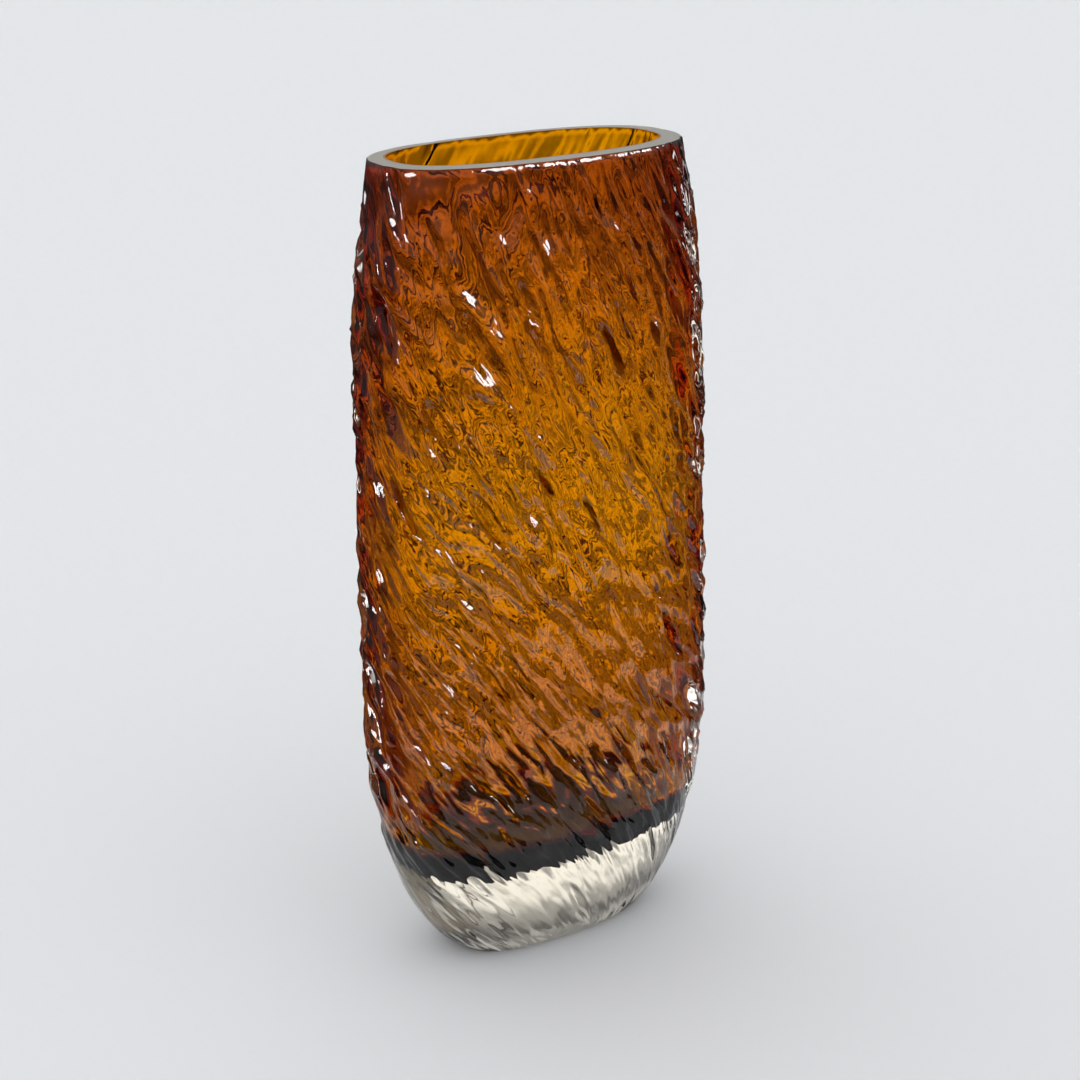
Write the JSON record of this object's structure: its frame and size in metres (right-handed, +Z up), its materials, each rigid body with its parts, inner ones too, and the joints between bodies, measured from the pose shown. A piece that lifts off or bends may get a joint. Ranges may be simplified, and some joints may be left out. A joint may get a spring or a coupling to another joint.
{
  "type": "art glass vase",
  "caption": "Tall flattened oval vase in cased glass: a thin amber cup inside a thick clear bark-textured casing with a solid base.",
  "frame": {"origin": "middle of the flat foot, on the surface that the vase stands on", "axes": "+Z up through the mouth, X along the long axis of the oval plan, Y across it"},
  "size_m": [0.1008, 0.0516, 0.22],
  "materials": {
    "clear_glass": "fire-polished clear glass with a bark relief, ground flat at the foot and rim",
    "amber_glass": "smooth transparent amber glass"
  },
  "bodies": {
    "root": {"clear_casing": "clear_glass", "amber_cup": "amber_glass"}
  },
  "joints": []
}
